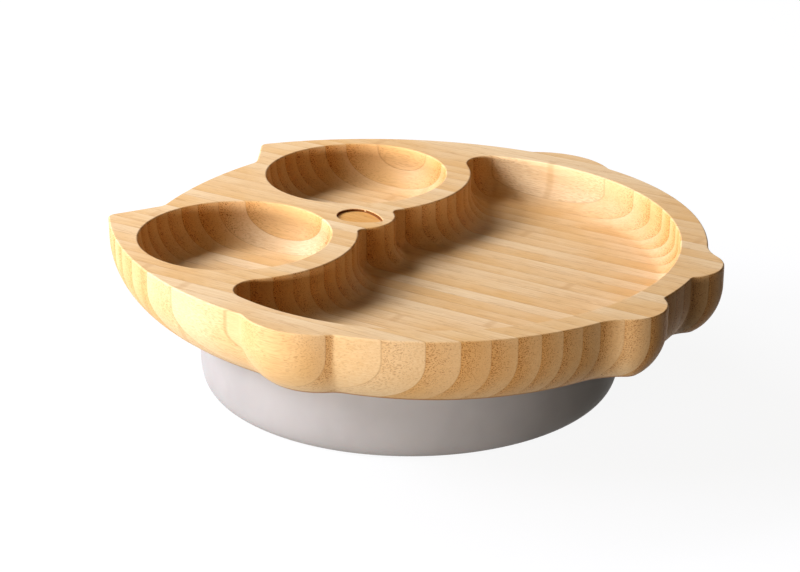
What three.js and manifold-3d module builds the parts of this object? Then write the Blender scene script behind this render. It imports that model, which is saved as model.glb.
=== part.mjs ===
// Divided bamboo plate in the outline of an owl, standing on a silicone suction ring.
// Millimetres, +Z up, +Y towards the ears. The origin is on the table, under the middle of the plate.
// The board is a blank of edge-glued bamboo staves that was milled as one piece, so the milled form is
// made first and then parted along the glue lines into its staves.

import * as THREE from 'three';
import { mergeVertices } from 'three/addons/utils/BufferGeometryUtils.js';
import Module from 'manifold-3d';

// Blank: thickness of one stave with its glue line, and the glue line alone.
const STAVE_PITCH = 5.9;
const GLUE_LINE = 0.05;

// Heights: wood left under the compartments, and how deep the compartments are.
const FLOOR_THICKNESS = 9.4;
const COMPARTMENT_DEPTH = 13.8;
const BEAK_DEPTH = 1.5;

// Body: the round belly that everything else is set out from. Its centre is the drawing's centre.
const BODY_RADIUS = 92.3;
const RIM_WIDTH = 9.2;

// Eyes: two round bowls, one rim apart, above the body's centre.
const EYE_RADIUS = 32.5;
const EYE_RISE = 55.4;
const EYE_FLOOR_FILLET = 12;

// Head: side arcs that pass the eyes, a flat crown, and ears that rise from the crown out to the side.
// The ear's outset is the place of its root, and its slope is taken there.
const HEAD_SIDE_RIM = 6.4;
const HEAD_SIDE_ANGLE = -5;
const CROWN_RIM = 8.1;
const CROWN_RADIUS = 130;
const EAR_OUTSET = 27.5;
const EAR_FLANK_SLOPE = 29.1;
const EAR_FLANK_RADIUS = 400;
const EAR_TIP_RADIUS = 3;
const EAR_ROOT_RADIUS = 5;

// Wings and feet: round swellings on the body's edge, with hollow fillets at their roots.
const WING_RADIUS = 27;
const WING_PROUD = 4.5;
const WING_ANGLE = -1.9;
const WING_FILLET = 3.5;
const FOOT_RADIUS = 13;
const FOOT_PROUD = 6.9;
const FOOT_SPREAD = 23.6;
const FOOT_OUTER_FILLET = 16;
const FOOT_INNER_FILLET = 2;

// Food compartment: horns beside the eyes, and a lobe of rim around the beak.
const HORN_RADIUS = 8.5;
const LOBE_RADIUS = 12;
const LOBE_DROP = 26.4;
const LOBE_CORNER_RADIUS = 3;
const FLOOR_FILLET = 8;

// Beak: a shallow almond pocket in that lobe.
const BEAK_RIM = 3.2;
const BEAK_LENGTH = 17.4;
const BEAK_TIP_RADIUS = 1.4;
const BEAK_TOP_RADIUS = 6.4;
const BEAK_SIDE_RADIUS = 18;

// Side of the board: upright at the top, then a wide curve that runs in under the plate through a given
// angle, and a small round where it meets the flat underside. The top edges are broken.
const SIDE_RADIUS = 20;
const SIDE_SWEEP = 54;
const LOWER_EDGE_RADIUS = 1.2;
const EDGE_BREAK = 0.6;

// Suction ring: a skirt that tapers inside to a sealing lip on the table, and the bead on its top that is
// pushed into the board.
const RING_OFFSET = 9;
const RING_HEIGHT = 28.8;
const RING_SETBACK = 20;
const RING_WALL = 11;
const BULGE_HEIGHT = 9;
const FOOT_TUCK = 3.6;
const NECK_TUCK = 3;
const LIP_WIDTH = 7;
const LIP_THICKNESS = 1.6;
const BEAD_WIDTH = 5;
const BEAD_HEIGHT = 5;
const BEAD_CLEARANCE = 0.3;

// Fineness of the faceted solids.
const CHORD_ERROR = 0.15;
const LARGEST_STEP = THREE.MathUtils.degToRad(20);
const ROUND_STEPS = 4;
const SIDE_STEPS = 3;
const RING_SEGMENTS = 52;
const CURVE_STEPS = 3;

const HALVINGS = 24;

// A floor fillet takes at most this share of the room in front of its wall, so that it never folds over.
const ROOM_SHARE = 0.9;

// Cutters reach this far past the surface that they enter through.
const OVERCUT = 5;

const BOARD_THICKNESS = FLOOR_THICKNESS + COMPARTMENT_DEPTH;

const wasm = await Module();
wasm.setup();

// Outlines are chains of tangent circles. A circle with turn +1 bulges out of the shape and one with
// turn -1 hollows it, and the outline runs anticlockwise.

function circle(x, y, radius, turn) {
  return { centre: new THREE.Vector2(x, y), radius, turn };
}

function onCircle(radius, degrees) {
  const angle = THREE.MathUtils.degToRad(degrees);
  return new THREE.Vector2(radius * Math.cos(angle), radius * Math.sin(angle));
}

// Circle of a given radius that touches two others, on the side of the hint.
function fillet(first, second, radius, turn, hint) {
  const away = (other) => (other.turn === turn ? Math.abs(other.radius - radius) : other.radius + radius);
  const reachFirst = away(first);
  const reachSecond = away(second);
  const span = second.centre.clone().sub(first.centre);
  const gap = span.length();
  const along = (reachFirst ** 2 - reachSecond ** 2 + gap ** 2) / (2 * gap);
  const across = Math.sqrt(reachFirst ** 2 - along ** 2);
  const ahead = span.divideScalar(gap);
  const sideways = new THREE.Vector2(-ahead.y, ahead.x);
  const foot = first.centre.clone().addScaledVector(ahead, along);
  const left = foot.clone().addScaledVector(sideways, across);
  const right = foot.clone().addScaledVector(sideways, -across);
  const centre = left.distanceTo(hint) < right.distanceTo(hint) ? left : right;
  return { centre, radius, turn };
}

function touchPoint(first, second) {
  const inner = first.turn === second.turn && first.radius < second.radius;
  const [from, to] = inner ? [second, first] : [first, second];
  const direction = to.centre.clone().sub(from.centre).normalize();
  return from.centre.clone().addScaledVector(direction, from.radius);
}

// Points with outward normals along one circle, without the last point.
function arcPoints({ centre, radius, turn }, from, to) {
  const start = from.clone().sub(centre).angle();
  const end = to.clone().sub(centre).angle();
  const sweep = THREE.MathUtils.euclideanModulo(turn * (end - start), 2 * Math.PI);
  const step = Math.min(LARGEST_STEP, 2 * Math.acos(1 - CHORD_ERROR / radius));
  const count = Math.max(1, Math.ceil(sweep / step));
  return Array.from({ length: count }, (_, index) => {
    const angle = start + (turn * sweep * index) / count;
    const outward = new THREE.Vector2(Math.cos(angle), Math.sin(angle));
    const place = centre.clone().addScaledVector(outward, radius);
    return { place, normal: outward.multiplyScalar(turn) };
  });
}

// Right half of an outline from its lowest to its highest point on the middle line, then its mirror image.
function mirroredOutline(chain, bottom, top) {
  const half = chain.flatMap((piece, index) => {
    const from = index === 0 ? bottom : touchPoint(chain[index - 1], piece);
    const to = index === chain.length - 1 ? top : touchPoint(piece, chain[index + 1]);
    return arcPoints(piece, from, to);
  });
  const summit = { place: top, normal: new THREE.Vector2(0, 1) };
  const mirrored = half.slice(1).reverse().map(({ place, normal }) => ({
    place: new THREE.Vector2(-place.x, place.y),
    normal: new THREE.Vector2(-normal.x, normal.y),
  }));
  return withRoom([...half, summit, ...mirrored]);
}

function roundOutline(x, y, radius) {
  const whole = circle(x, y, radius, 1);
  const east = new THREE.Vector2(x + radius, y);
  const west = new THREE.Vector2(x - radius, y);
  return withRoom([...arcPoints(whole, east, west), ...arcPoints(whole, west, east)]);
}

// Room is the radius of the largest disc inside the outline that touches it at that point.
function withRoom(outline) {
  return outline.map((point) => {
    let room = Infinity;
    for (const other of outline) {
      const chord = other.place.clone().sub(point.place);
      const depth = -chord.dot(point.normal);
      if (depth > 0) room = Math.min(room, chord.lengthSq() / (2 * depth));
    }
    return { ...point, room };
  });
}

function limited(wanted, point) {
  return Math.min(wanted, ROOM_SHARE * point.room);
}

function edgeDistance(outline, place) {
  let least = Infinity;
  outline.forEach((point, index) => {
    const start = point.place;
    const edge = outline[(index + 1) % outline.length].place.clone().sub(start);
    const offset = place.clone().sub(start);
    const share = THREE.MathUtils.clamp(offset.dot(edge) / edge.lengthSq(), 0, 1);
    least = Math.min(least, offset.addScaledVector(edge, -share).length());
  });
  return least;
}

// Moves a point towards the drawing's centre until it is a given depth inside the outline, as the
// shoulder of a round-over cutter does when it follows that outline.
function drawnIn(outline, point, depth) {
  let outside = 0;
  let inside = 1;
  for (let step = 0; step < HALVINGS; step += 1) {
    const share = (outside + inside) / 2;
    const place = point.place.clone().multiplyScalar(1 - share);
    if (edgeDistance(outline, place) < depth) outside = share;
    else inside = share;
  }
  return point.place.clone().multiplyScalar(1 - outside);
}

function atHeight(place, height) {
  return new THREE.Vector3(place.x, place.y, height);
}

function movedIn(point, inset, height) {
  return atHeight(point.place.clone().addScaledVector(point.normal, -inset), height);
}

// Closed body through a stack of rings. Each level says where it puts a point of the outline.
function loft(outline, levels) {
  const size = outline.length;
  const rings = levels.map((level) => outline.map(level));
  const faces = [];
  for (let level = 0; level + 1 < rings.length; level += 1) {
    for (let index = 0; index < size; index += 1) {
      const a = level * size + index;
      const b = level * size + ((index + 1) % size);
      faces.push(a, b, b + size, a, b + size, a + size);
    }
  }
  const last = (rings.length - 1) * size;
  for (const [a, b, c] of THREE.ShapeUtils.triangulateShape(rings[0], [])) faces.push(a, c, b);
  for (const [a, b, c] of THREE.ShapeUtils.triangulateShape(rings.at(-1), [])) {
    faces.push(last + a, last + b, last + c);
  }
  const geometry = new THREE.BufferGeometry().setFromPoints(rings.flat());
  geometry.setIndex(faces);
  return geometry;
}

// Steps of a quarter round of radius 1 that leaves the flat below it and ends upright.
const QUARTER_ROUND = Array.from({ length: ROUND_STEPS + 1 }, (_, index) => {
  const angle = ((index / ROUND_STEPS) * Math.PI) / 2;
  return { inset: 1 - Math.sin(angle), height: 1 - Math.cos(angle) };
});

// Side of the board from the flat underside up to where it stands upright.
function sideProfile() {
  const sweep = THREE.MathUtils.degToRad(SIDE_SWEEP);
  const lowerEdge = LOWER_EDGE_RADIUS * (1 - Math.sin(sweep));
  const room = BOARD_THICKNESS - EDGE_BREAK - lowerEdge;
  const radius = Math.min(SIDE_RADIUS, room / Math.sin(sweep));
  const curve = Array.from({ length: SIDE_STEPS + 1 }, (_, index) => {
    const angle = sweep * (1 - index / SIDE_STEPS);
    const height = lowerEdge + radius * (Math.sin(sweep) - Math.sin(angle));
    return { inset: radius * (1 - Math.cos(angle)), height };
  });
  const flat = { inset: curve[0].inset + LOWER_EDGE_RADIUS * Math.cos(sweep), height: 0 };
  return [flat, ...curve];
}

function boardBlank(outline) {
  return loft(outline, [
    ...sideProfile().map(({ inset, height }) => (point) => atHeight(drawnIn(outline, point, inset), height)),
    (point) => atHeight(point.place, BOARD_THICKNESS - EDGE_BREAK),
    (point) => atHeight(drawnIn(outline, point, EDGE_BREAK), BOARD_THICKNESS),
  ]);
}

// Cutter for a compartment: filleted floor, upright wall and a broken top edge.
function pocketCutter(outline, depth, floorFillet) {
  const rounding = Math.min(floorFillet, depth - EDGE_BREAK);
  const floor = BOARD_THICKNESS - depth;
  return loft(outline, [
    ...QUARTER_ROUND.map(({ inset, height }) => (point) => {
      const radius = limited(rounding, point);
      return movedIn(point, radius * inset, floor + radius * height);
    }),
    (point) => atHeight(point.place, BOARD_THICKNESS - EDGE_BREAK),
    (point) => movedIn(point, -EDGE_BREAK, BOARD_THICKNESS),
    (point) => movedIn(point, -EDGE_BREAK, BOARD_THICKNESS + OVERCUT),
  ]);
}

function plainCutter(outline, depth) {
  return loft(outline, [
    (point) => atHeight(point.place, BOARD_THICKNESS - depth),
    (point) => atHeight(point.place, BOARD_THICKNESS + OVERCUT),
  ]);
}

// Body of revolution about a vertical axis, from a profile of radius and height that closes on itself.
function revolved(profile) {
  const geometry = new THREE.LatheGeometry([...profile, profile[0]], RING_SEGMENTS);
  geometry.rotateX(Math.PI / 2);
  return geometry;
}

function solidFrom(geometry) {
  const bare = geometry.clone();
  bare.deleteAttribute('normal');
  bare.deleteAttribute('uv');
  const merged = mergeVertices(bare);
  return new wasm.Manifold(new wasm.Mesh({
    numProp: 3,
    vertProperties: new Float32Array(merged.attributes.position.array),
    triVerts: new Uint32Array(merged.index.array),
  }));
}

function geometryFrom(solid) {
  const mesh = solid.getMesh();
  const geometry = new THREE.BufferGeometry();
  geometry.setAttribute('position', new THREE.BufferAttribute(new Float32Array(mesh.vertProperties), 3));
  geometry.setIndex(new THREE.BufferAttribute(new Uint32Array(mesh.triVerts), 1));
  geometry.computeVertexNormals();
  return geometry;
}

// Where the eyes are, and the ring of rim around each of them.
const EYE_SPREAD = EYE_RADIUS + RIM_WIDTH / 2;
const EYE_RIM_RADIUS = EYE_RADIUS + RIM_WIDTH;
const LOBE_RISE = EYE_RISE - LOBE_DROP;

// The head's side leaves the body's circle at a given angle and passes the eye at a given rim.
function headSide() {
  const eye = new THREE.Vector2(EYE_SPREAD, EYE_RISE);
  const passing = EYE_RADIUS + HEAD_SIDE_RIM;
  const leaving = onCircle(1, HEAD_SIDE_ANGLE);
  const reach = eye.dot(leaving);
  const top = passing ** 2 - eye.lengthSq() + 2 * BODY_RADIUS * reach - BODY_RADIUS ** 2;
  const radius = top / (2 * (reach - BODY_RADIUS + passing));
  const centre = leaving.multiplyScalar(BODY_RADIUS - radius);
  return circle(centre.x, centre.y, radius, 1);
}

function owlOutline() {
  const body = circle(0, 0, BODY_RADIUS, 1);
  const belly = new THREE.Vector2(0, -BODY_RADIUS);
  const hip = onCircle(BODY_RADIUS, -45);

  const footReach = BODY_RADIUS + FOOT_PROUD;
  const footAngle = THREE.MathUtils.radToDeg(Math.asin(FOOT_SPREAD / footReach)) - 90;
  const footCentre = onCircle(footReach - FOOT_RADIUS, footAngle);
  const foot = circle(footCentre.x, footCentre.y, FOOT_RADIUS, 1);
  const footInside = fillet(body, foot, FOOT_INNER_FILLET, -1, belly);
  const footOutside = fillet(foot, body, FOOT_OUTER_FILLET, -1, hip);

  const side = headSide();
  const wingCentre = onCircle(BODY_RADIUS + WING_PROUD - WING_RADIUS, WING_ANGLE);
  const wing = circle(wingCentre.x, wingCentre.y, WING_RADIUS, 1);
  const wingBelow = fillet(body, wing, WING_FILLET, -1, hip);
  const wingAbove = fillet(wing, side, WING_FILLET, -1, new THREE.Vector2(EYE_SPREAD, EYE_RISE));

  const crownTop = new THREE.Vector2(0, EYE_RISE + EYE_RADIUS + CROWN_RIM);
  const crown = circle(0, crownTop.y - CROWN_RADIUS, CROWN_RADIUS, 1);
  const rootY = crown.centre.y + Math.sqrt(CROWN_RADIUS ** 2 - EAR_OUTSET ** 2);
  const root = new THREE.Vector2(EAR_OUTSET, rootY);
  const flankCentre = onCircle(EAR_FLANK_RADIUS, EAR_FLANK_SLOPE + 90).add(root);
  const earFlank = circle(flankCentre.x, flankCentre.y, EAR_FLANK_RADIUS, -1);
  const earTip = fillet(side, earFlank, EAR_TIP_RADIUS, 1, root);
  const earRoot = fillet(earFlank, crown, EAR_ROOT_RADIUS, -1, root);

  const chain = [
    body, footInside, foot, footOutside, body, wingBelow, wing, wingAbove,
    side, earTip, earFlank, earRoot, crown,
  ];
  return mirroredOutline(chain, belly, crownTop);
}

function compartmentOutline() {
  const bowl = circle(0, 0, BODY_RADIUS - RIM_WIDTH, 1);
  const eyeRim = circle(EYE_SPREAD, EYE_RISE, EYE_RIM_RADIUS, -1);
  const lobe = circle(0, LOBE_RISE, LOBE_RADIUS, -1);
  const horn = fillet(bowl, eyeRim, HORN_RADIUS, 1, onCircle(BODY_RADIUS, 0));
  const corner = fillet(eyeRim, lobe, LOBE_CORNER_RADIUS, 1, new THREE.Vector2(0, 0));
  const bottom = new THREE.Vector2(0, -bowl.radius);
  const top = new THREE.Vector2(0, LOBE_RISE - LOBE_RADIUS);
  return mirroredOutline([bowl, horn, eyeRim, corner, lobe], bottom, top);
}

function beakOutline() {
  const bottom = new THREE.Vector2(0, LOBE_RISE - LOBE_RADIUS + BEAK_RIM);
  const top = new THREE.Vector2(0, bottom.y + BEAK_LENGTH);
  const tip = circle(0, bottom.y + BEAK_TIP_RADIUS, BEAK_TIP_RADIUS, 1);
  const brow = circle(0, top.y - BEAK_TOP_RADIUS, BEAK_TOP_RADIUS, 1);
  const cheek = fillet(tip, brow, BEAK_SIDE_RADIUS, 1, new THREE.Vector2(-BEAK_SIDE_RADIUS, brow.centre.y));
  return mirroredOutline([tip, cheek, brow], bottom, top);
}

// Radii of the suction ring, all from the bulge of its wall. The bead stands in the middle of the wall's top.
const BULGE_RADIUS = BODY_RADIUS - RING_SETBACK;
const NECK_RADIUS = BULGE_RADIUS - NECK_TUCK;
const NECK_INNER = NECK_RADIUS - RING_WALL;
const BEAD_OUTER = (NECK_RADIUS + NECK_INNER + BEAD_WIDTH) / 2;
const BEAD_INNER = BEAD_OUTER - BEAD_WIDTH;

function ringProfile() {
  const foot = BULGE_RADIUS - FOOT_TUCK;
  const lipInner = foot - LIP_WIDTH;
  const waist = (RING_HEIGHT + BULGE_HEIGHT) / 2;
  const beadTop = RING_HEIGHT + BEAD_HEIGHT;
  const beadRound = BEAD_WIDTH / 4;
  const profile = new THREE.Path();
  profile.moveTo(lipInner, 0);
  profile.lineTo(foot, 0);
  profile.quadraticCurveTo(BULGE_RADIUS, 0, BULGE_RADIUS, BULGE_HEIGHT);
  profile.quadraticCurveTo(BULGE_RADIUS, waist, NECK_RADIUS, RING_HEIGHT);
  profile.lineTo(BEAD_OUTER, RING_HEIGHT);
  profile.lineTo(BEAD_OUTER, beadTop - beadRound);
  profile.lineTo(BEAD_OUTER - beadRound, beadTop);
  profile.lineTo(BEAD_INNER + beadRound, beadTop);
  profile.lineTo(BEAD_INNER, beadTop - beadRound);
  profile.lineTo(BEAD_INNER, RING_HEIGHT);
  profile.lineTo(NECK_INNER, RING_HEIGHT);
  profile.lineTo(lipInner, LIP_THICKNESS);
  return profile.getPoints(CURVE_STEPS);
}

function grooveProfile() {
  const inner = BEAD_INNER - BEAD_CLEARANCE;
  const outer = BEAD_OUTER + BEAD_CLEARANCE;
  const depth = BEAD_HEIGHT + BEAD_CLEARANCE;
  return [
    new THREE.Vector2(inner, -OVERCUT),
    new THREE.Vector2(outer, -OVERCUT),
    new THREE.Vector2(outer, depth),
    new THREE.Vector2(inner, depth),
  ];
}

function milledBoard(outline) {
  const eyes = [-EYE_SPREAD, EYE_SPREAD].map((x) => roundOutline(x, EYE_RISE, EYE_RADIUS));
  const cutters = [
    ...eyes.map((eye) => pocketCutter(eye, COMPARTMENT_DEPTH, EYE_FLOOR_FILLET)),
    pocketCutter(compartmentOutline(), COMPARTMENT_DEPTH, FLOOR_FILLET),
    plainCutter(beakOutline(), BEAK_DEPTH),
    revolved(grooveProfile()).translate(0, RING_OFFSET, 0),
  ];
  return cutters.reduce((board, cutter) => board.subtract(solidFrom(cutter)), solidFrom(boardBlank(outline)));
}

// One stave lies on the middle line. The outermost two take what is left over, so none is a sliver.
function staves(board, halfWidth) {
  const beside = Math.round((halfWidth - STAVE_PITCH / 2) / STAVE_PITCH);
  const count = 2 * beside + 1;
  const height = BOARD_THICKNESS + 2 * OVERCUT;
  const length = 4 * halfWidth;
  return Array.from({ length: count }, (_, index) => {
    const middle = (index - beside) * STAVE_PITCH;
    const spare = index === 0 || index === count - 1 ? STAVE_PITCH : 0;
    const shift = (Math.sign(index - beside) * spare) / 2;
    const slab = new THREE.BoxGeometry(STAVE_PITCH - GLUE_LINE + spare, length, height);
    slab.translate(middle + shift, 0, BOARD_THICKNESS / 2);
    return geometryFrom(board.intersect(solidFrom(slab)));
  });
}

// Bamboo strips differ a little in tone: three tones in a fixed order.
const BAMBOO_TONES = [0xe3bd85, 0xd9ad72, 0xe8c793];
const SILICONE_GREY = 0x9d9896;

const outline = owlOutline();
const heights = outline.map(({ place }) => place.y);
const middleY = (Math.max(...heights) + Math.min(...heights)) / 2;
const halfWidth = Math.max(...outline.map(({ place }) => place.x));

const plate = new THREE.Group();
plate.position.set(0, -middleY, 0);

const board = new THREE.Group();
board.position.z = RING_HEIGHT;
staves(milledBoard(outline), halfWidth).forEach((geometry, index) => {
  const tone = BAMBOO_TONES[(index * 2 + Math.floor(index / 4)) % BAMBOO_TONES.length];
  const bamboo = new THREE.MeshStandardMaterial({ color: tone, roughness: 0.55, metalness: 0 });
  const stave = new THREE.Mesh(geometry, bamboo);
  stave.name = `stave_${String(index + 1).padStart(2, '0')}`;
  board.add(stave);
});

const silicone = new THREE.MeshStandardMaterial({ color: SILICONE_GREY, roughness: 0.6, metalness: 0 });
const suctionRing = new THREE.Mesh(revolved(ringProfile()), silicone);
suctionRing.name = 'suction_ring';
suctionRing.position.y = RING_OFFSET;

plate.add(board, suctionRing);

export default plate;
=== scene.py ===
# %% [markdown]
# # A divided bamboo plate on a suction ring
# The plate is a board of bamboo staves, glued edge to edge and then milled in the outline of an owl: two
# round bowls for eyes, one large compartment below them and a shallow beak between. It stands on a grey
# silicone ring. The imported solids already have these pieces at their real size, with coarse facets. This
# lesson makes the same pieces again with smooth edges, in the same frame, and gives them their finish.

import math
from collections import namedtuple

import bpy
import numpy as np
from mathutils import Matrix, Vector


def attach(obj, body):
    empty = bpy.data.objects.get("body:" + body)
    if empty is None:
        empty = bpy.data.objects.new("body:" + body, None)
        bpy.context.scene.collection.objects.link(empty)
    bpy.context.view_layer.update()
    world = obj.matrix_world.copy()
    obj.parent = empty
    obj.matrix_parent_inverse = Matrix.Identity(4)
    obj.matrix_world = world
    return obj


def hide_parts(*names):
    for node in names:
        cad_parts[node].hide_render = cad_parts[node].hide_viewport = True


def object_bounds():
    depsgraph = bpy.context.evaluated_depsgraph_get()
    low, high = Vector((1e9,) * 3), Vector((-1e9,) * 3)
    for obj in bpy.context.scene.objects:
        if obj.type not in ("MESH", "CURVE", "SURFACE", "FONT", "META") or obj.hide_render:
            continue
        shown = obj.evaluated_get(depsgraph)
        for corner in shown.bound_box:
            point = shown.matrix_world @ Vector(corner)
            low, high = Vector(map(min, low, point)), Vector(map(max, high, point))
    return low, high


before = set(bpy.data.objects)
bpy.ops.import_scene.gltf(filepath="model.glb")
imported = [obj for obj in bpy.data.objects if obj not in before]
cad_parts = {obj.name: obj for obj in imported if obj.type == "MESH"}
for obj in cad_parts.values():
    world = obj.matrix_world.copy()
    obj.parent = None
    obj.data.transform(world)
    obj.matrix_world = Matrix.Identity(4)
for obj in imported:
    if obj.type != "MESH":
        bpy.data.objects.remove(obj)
cad_low, cad_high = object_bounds()
MM = 0.001
cad_size = [round(length / MM, 1) for length in cad_high - cad_low]
print("solids loaded:", len(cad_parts), "nodes, box in mm", cad_size)

# %% [markdown]
# ## Camera
# The camera comes first, so that every later step can be judged from the place where the picture was
# taken: beside the plate, 22 degrees above the table. A long lens keeps the near and the far rim almost the
# same size. Aiming a camera is a matter of one rotation: its own -Z axis has to point at the target.

# %% Camera
CAMERA_TARGET = Vector((-46.3, -19.4, 52.0)) * MM
CAMERA_OFFSET = Vector((-551.4, -350.0, 267.0)) * MM
CAMERA_LENS = 100.0

camera = bpy.data.objects.new("camera", bpy.data.cameras.new("camera"))
camera.data.lens = CAMERA_LENS
camera.location = CAMERA_TARGET + CAMERA_OFFSET
camera.rotation_euler = (-CAMERA_OFFSET).to_track_quat("-Z", "Y").to_euler()
bpy.context.scene.collection.objects.link(camera)
bpy.context.scene.camera = camera
bpy.context.scene.view_settings.view_transform = "Standard"
print("camera at", [round(v, 3) for v in camera.location])

# %% [markdown]
# ## Outlines from tangent circles
# A router follows smooth curves, and the outline of this plate is a chain of circles that touch each other:
# a big one for the belly, small ones for ears and feet, hollow ones where two swellings meet. A drawing
# like that needs no list of points. We only say which circle follows which, and the touching points come
# out of the geometry. A circle with turn +1 bulges out of the shape, and one with turn -1 hollows it.

# %% Tangent circles
Circle = namedtuple("Circle", "centre radius turn")


def circle(x, y, radius, turn=1):
    return Circle(np.array([x, y]), radius, turn)


def on_circle(radius, degrees):
    angle = math.radians(degrees)
    return radius * np.array([math.cos(angle), math.sin(angle)])


def fillet(first, second, radius, turn, hint):
    """Circle of that radius that touches both others, on the side of the hint."""
    reach = []
    for one in (first, second):
        reach.append(abs(one.radius - radius) if one.turn == turn else one.radius + radius)
    span = second.centre - first.centre
    gap = np.linalg.norm(span)
    along = (reach[0] ** 2 - reach[1] ** 2 + gap**2) / (2 * gap)
    across = math.sqrt(reach[0] ** 2 - along**2)
    ahead = span / gap
    sideways = np.array([-ahead[1], ahead[0]])
    foot = first.centre + along * ahead
    options = (foot + across * sideways, foot - across * sideways)
    centre = min(options, key=lambda place: np.linalg.norm(place - hint))
    return Circle(centre, radius, turn)


def touch_point(first, second):
    inner = first.turn == second.turn and first.radius < second.radius
    start, other = (second, first) if inner else (first, second)
    direction = other.centre - start.centre
    return start.centre + start.radius * direction / np.linalg.norm(direction)


# %% Outlines along the circles
Outline = namedtuple("Outline", "places normals")
LONGEST_CHORD = 0.9 * MM
LARGEST_TURN = math.radians(6)


def arc_points(piece, start, end):
    """Points along one circle, without the last, and their outward normals."""
    begin, stop = (math.atan2(*(place - piece.centre)[::-1]) for place in (start, end))
    sweep = piece.turn * (stop - begin) % (2 * math.pi)
    count = max(1, math.ceil(max(sweep * piece.radius / LONGEST_CHORD, sweep / LARGEST_TURN)))
    angles = begin + piece.turn * sweep * np.arange(count) / count
    outward = np.column_stack([np.cos(angles), np.sin(angles)])
    return piece.centre + piece.radius * outward, piece.turn * outward


def mirrored_outline(chain, bottom, top):
    """Right half from its lowest to its highest point on the middle line, then its mirror image."""
    joints = [bottom, *(touch_point(*pair) for pair in zip(chain, chain[1:])), top]
    arcs = [arc_points(*step) for step in zip(chain, joints, joints[1:])]
    places, normals = (np.concatenate(part) for part in zip(*arcs))
    other_side = np.array([-1.0, 1.0])
    return Outline(
        np.concatenate([places, [top], places[:0:-1] * other_side]),
        np.concatenate([normals, [[0.0, 1.0]], normals[:0:-1] * other_side]),
    )


def round_outline(x, y, radius):
    whole = circle(x, y, radius)
    east, west = np.array([x + radius, y]), np.array([x - radius, y])
    halves = (arc_points(whole, east, west), arc_points(whole, west, east))
    return Outline(*(np.concatenate(part) for part in zip(*halves)))


# %% [markdown]
# ## The owl
# All places are set out from the centre of the round belly, as on the maker's drawing. The two eyes sit one
# rim apart above it. The side of the head leaves the belly's circle smoothly and passes the eye with a
# narrow rim, which is one equation for its radius. Wings and feet are round swellings on the edge.

# %% Owl sizes
BODY_RADIUS = 92.3 * MM
RIM_WIDTH = 9.2 * MM
EYE_RADIUS = 32.5 * MM
EYE_RISE = 55.4 * MM
EYE_SPREAD = EYE_RADIUS + RIM_WIDTH / 2
HEAD_SIDE_RIM = 6.4 * MM
HEAD_SIDE_ANGLE = -5
CROWN_RIM = 8.1 * MM
CROWN_RADIUS = 130 * MM
EAR_OUTSET = 27.5 * MM
EAR_FLANK_SLOPE = 29.1
EAR_FLANK_RADIUS = 400 * MM
EAR_TIP_RADIUS = 3 * MM
EAR_ROOT_RADIUS = 5 * MM
WING_RADIUS = 27 * MM
WING_PROUD = 4.5 * MM
WING_ANGLE = -1.9
WING_FILLET = 3.5 * MM
FOOT_RADIUS = 13 * MM
FOOT_PROUD = 6.9 * MM
FOOT_SPREAD = 23.6 * MM
FOOT_OUTER_FILLET = 16 * MM
FOOT_INNER_FILLET = 2 * MM
EYE = np.array([EYE_SPREAD, EYE_RISE])
print("right eye's centre in mm:", (EYE / MM).round(1))

# %% Owl outline


def head_side():
    """Circle that leaves the belly's circle at an angle and passes the eye at its rim."""
    passing = EYE_RADIUS + HEAD_SIDE_RIM
    leaving = on_circle(1, HEAD_SIDE_ANGLE)
    reach = EYE @ leaving
    top = passing**2 - EYE @ EYE + 2 * BODY_RADIUS * reach - BODY_RADIUS**2
    radius = top / (2 * (reach - BODY_RADIUS + passing))
    return circle(*(leaving * (BODY_RADIUS - radius)), radius)


def foot_swelling():
    reach = BODY_RADIUS + FOOT_PROUD
    angle = math.degrees(math.asin(FOOT_SPREAD / reach)) - 90
    return circle(*on_circle(reach - FOOT_RADIUS, angle), FOOT_RADIUS)


def owl_outline():
    body = circle(0, 0, BODY_RADIUS)
    belly = np.array([0, -BODY_RADIUS])
    hip = on_circle(BODY_RADIUS, -45)
    foot = foot_swelling()
    foot_inside = fillet(body, foot, FOOT_INNER_FILLET, -1, belly)
    foot_outside = fillet(foot, body, FOOT_OUTER_FILLET, -1, hip)
    side = head_side()
    wing = circle(*on_circle(BODY_RADIUS + WING_PROUD - WING_RADIUS, WING_ANGLE), WING_RADIUS)
    wing_below = fillet(body, wing, WING_FILLET, -1, hip)
    wing_above = fillet(wing, side, WING_FILLET, -1, EYE)
    crown_top = np.array([0, EYE_RISE + EYE_RADIUS + CROWN_RIM])
    crown = circle(0, crown_top[1] - CROWN_RADIUS, CROWN_RADIUS)
    root = np.array([EAR_OUTSET, crown.centre[1] + math.sqrt(CROWN_RADIUS**2 - EAR_OUTSET**2)])
    flank_centre = root + on_circle(EAR_FLANK_RADIUS, EAR_FLANK_SLOPE + 90)
    ear_flank = circle(*flank_centre, EAR_FLANK_RADIUS, -1)
    ear_tip = fillet(side, ear_flank, EAR_TIP_RADIUS, 1, root)
    ear_root = fillet(ear_flank, crown, EAR_ROOT_RADIUS, -1, root)
    chain = [body, foot_inside, foot, foot_outside, body, wing_below, wing, wing_above]
    chain += [side, ear_tip, ear_flank, ear_root, crown]
    return mirrored_outline(chain, belly, crown_top)


owl = owl_outline()
plate_low, plate_high = owl.places.min(axis=0), owl.places.max(axis=0)
BODY_Y = -(plate_low[1] + plate_high[1]) / 2
print("owl:", len(owl.places), "points, size in mm", ((plate_high - plate_low) / MM).round(1))

# %% [markdown]
# ## Compartments
# The large compartment follows the belly inside the rim, runs up in a horn beside each eye and goes round a
# small lobe of rim that carries the beak. These are circles again, only the eyes' rims and the lobe count
# as hollows here.

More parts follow.
